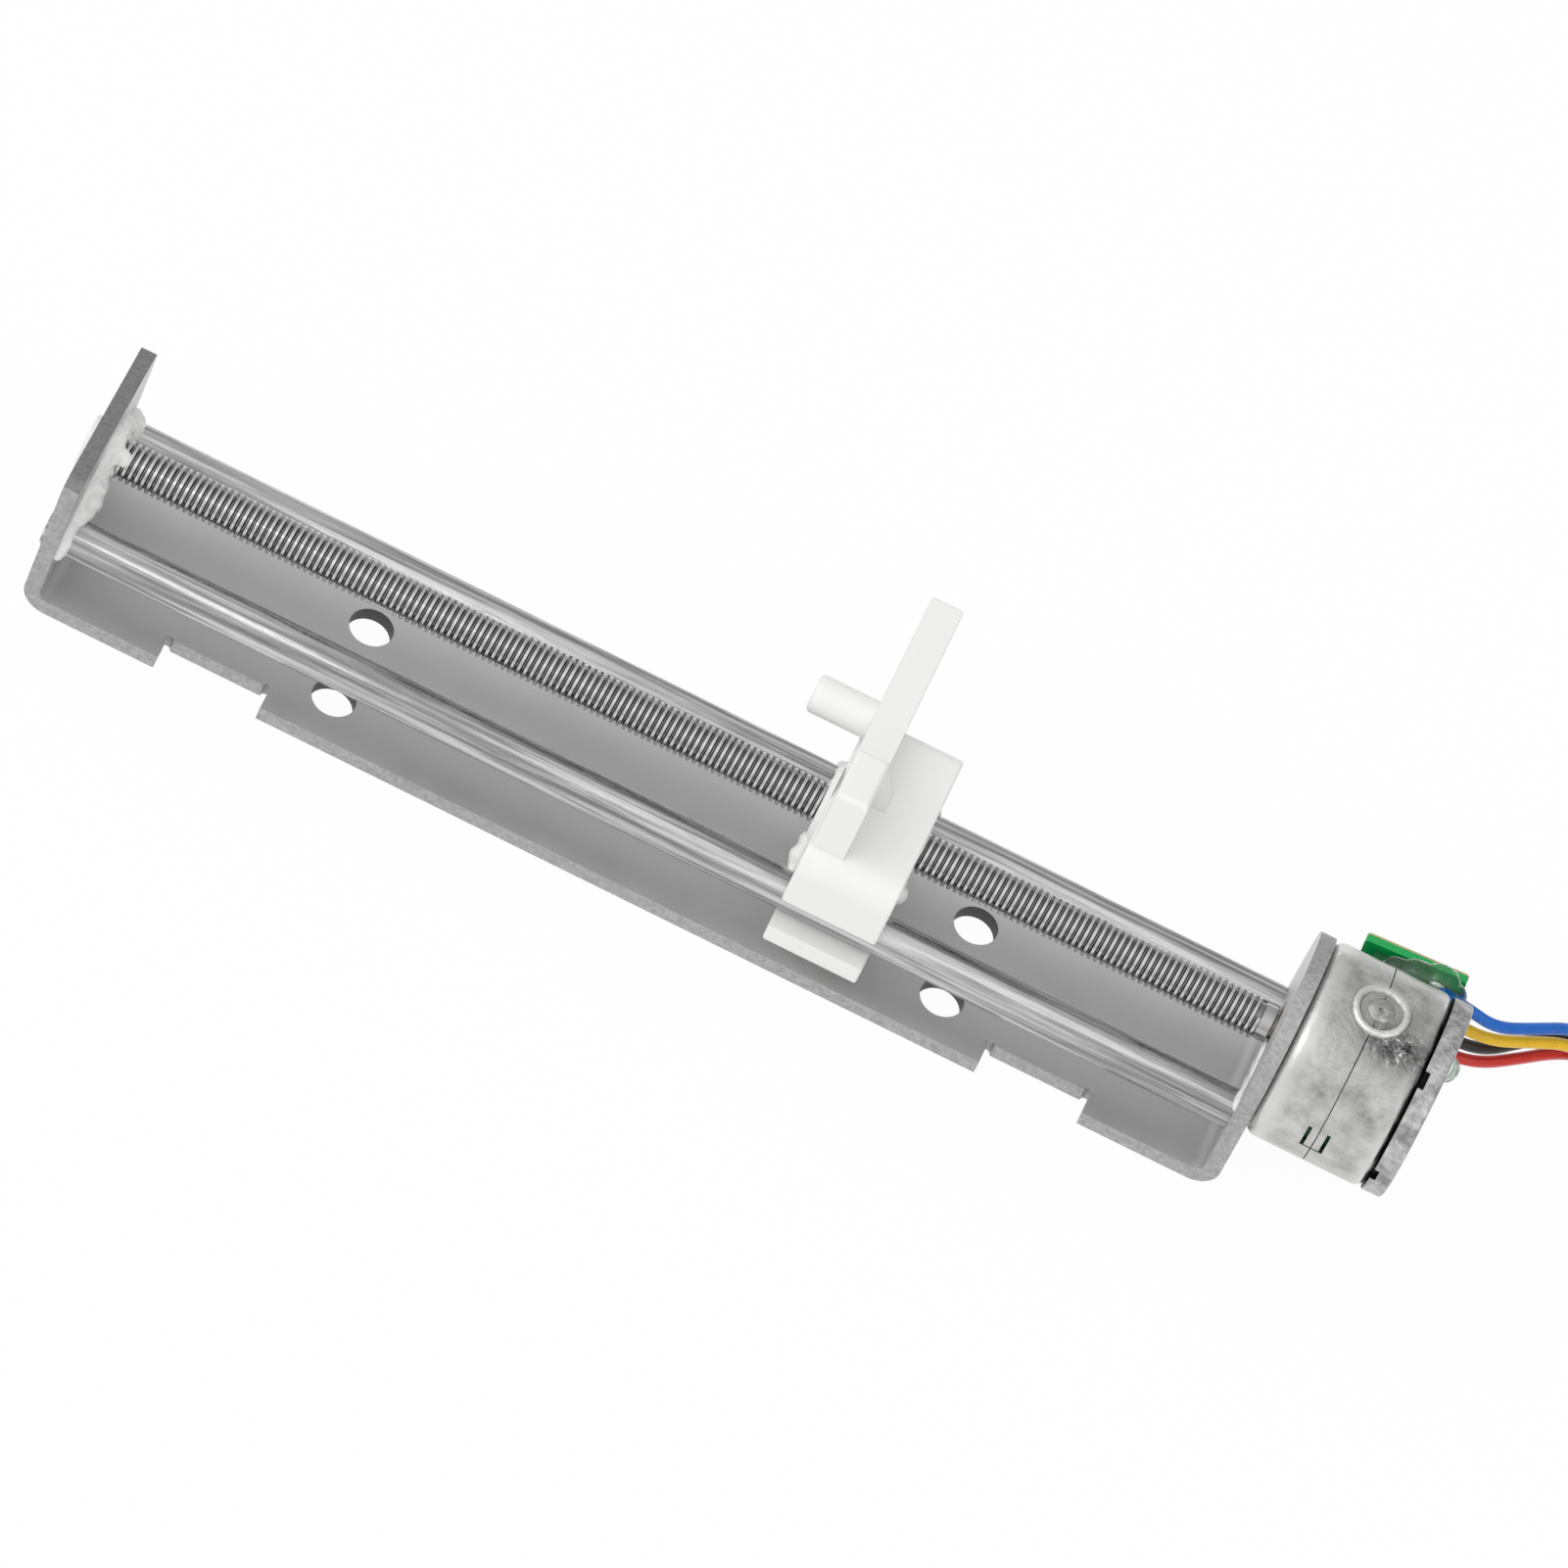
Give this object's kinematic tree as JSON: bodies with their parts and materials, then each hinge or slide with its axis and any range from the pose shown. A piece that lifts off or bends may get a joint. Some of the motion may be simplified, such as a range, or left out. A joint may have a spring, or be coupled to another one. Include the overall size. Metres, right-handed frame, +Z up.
{
  "type": "stepper motor linear slide",
  "caption": "Miniature linear slide: a can-stack stepper motor turns a lead screw in a bent steel bracket and drives a moulded slider along two guide rods.",
  "frame": {"origin": "centre of the four mounting holes, on the underside of the bracket's base", "axes": "+X along the slide from the end bush towards the motor, +Z up from the base towards the screw, +Y across, from the fork side of the slider towards the wiring board"},
  "size_m": [0.1347, 0.0248, 0.0193],
  "materials": {
    "zinc_steel": "satin bright zinc-plated sheet steel",
    "ground_steel": "bright ground steel with a film of grease",
    "nickel_steel": "bright nickel-plated drawn steel",
    "white_acetal": "smooth natural white acetal",
    "black_nylon": "matt black moulded nylon",
    "copper_wire": "enamelled copper magnet wire, wound in layers",
    "tinned_brass": "tinned brass pins",
    "green_laminate": "glossy green solder mask on glass-fibre laminate",
    "solder": "bright smooth solder",
    "sintered_bronze": "oiled sintered bronze",
    "ferrite": "dark ground ferrite magnet",
    "tie_plastic": "translucent white polymer film",
    "blue_pvc": "soft blue vinyl insulation",
    "yellow_pvc": "soft yellow vinyl insulation",
    "black_pvc": "soft black vinyl insulation",
    "red_pvc": "soft red vinyl insulation"
  },
  "bodies": {
    "frame": {"bracket": "zinc_steel", "guide_rod_near": "ground_steel", "guide_rod_far": "ground_steel", "end_bush": "white_acetal", "stator_cup_front": "nickel_steel", "stator_cup_rear": "nickel_steel", "pole_plate_front": "nickel_steel", "pole_plate_rear": "nickel_steel", "bobbin_front": "black_nylon", "bobbin_rear": "black_nylon", "winding_front": "copper_wire", "winding_rear": "copper_wire", "terminal_pins": "tinned_brass", "wiring_board": "green_laminate", "solder_joints": "solder", "rear_plate": "nickel_steel", "front_bearing": "sintered_bronze", "rear_bearing": "sintered_bronze", "lead_blue": "blue_pvc", "lead_yellow": "yellow_pvc", "lead_black": "black_pvc", "lead_red": "red_pvc", "lead_coil": "black_pvc", "lead_tie": "tie_plastic"},
    "rotor": {"lead_screw": "ground_steel", "rotor_magnet": "ferrite", "rotor_hub": "black_nylon", "thrust_washer_front": "tie_plastic", "thrust_washer_rear": "tie_plastic", "preload_spring": "ground_steel"},
    "carriage": {"slider": "white_acetal"}
  },
  "joints": [
    {"name": "screw_spin", "type": "hinge", "parent": "frame", "child": "rotor", "pos_m": [0, 0, 0.0102], "axis": [1, 0, 0], "range_deg": [-19800.5, 37440.5]},
    {"name": "carriage_slide", "type": "slide", "parent": "frame", "child": "carriage", "axis": [1, 0, 0], "range_m": [-0.052, 0.0275]}
  ],
  "couplings": [
    {"joint": "screw_spin", "follows": "carriage_slide", "rad_per_m": -12566}
  ]
}
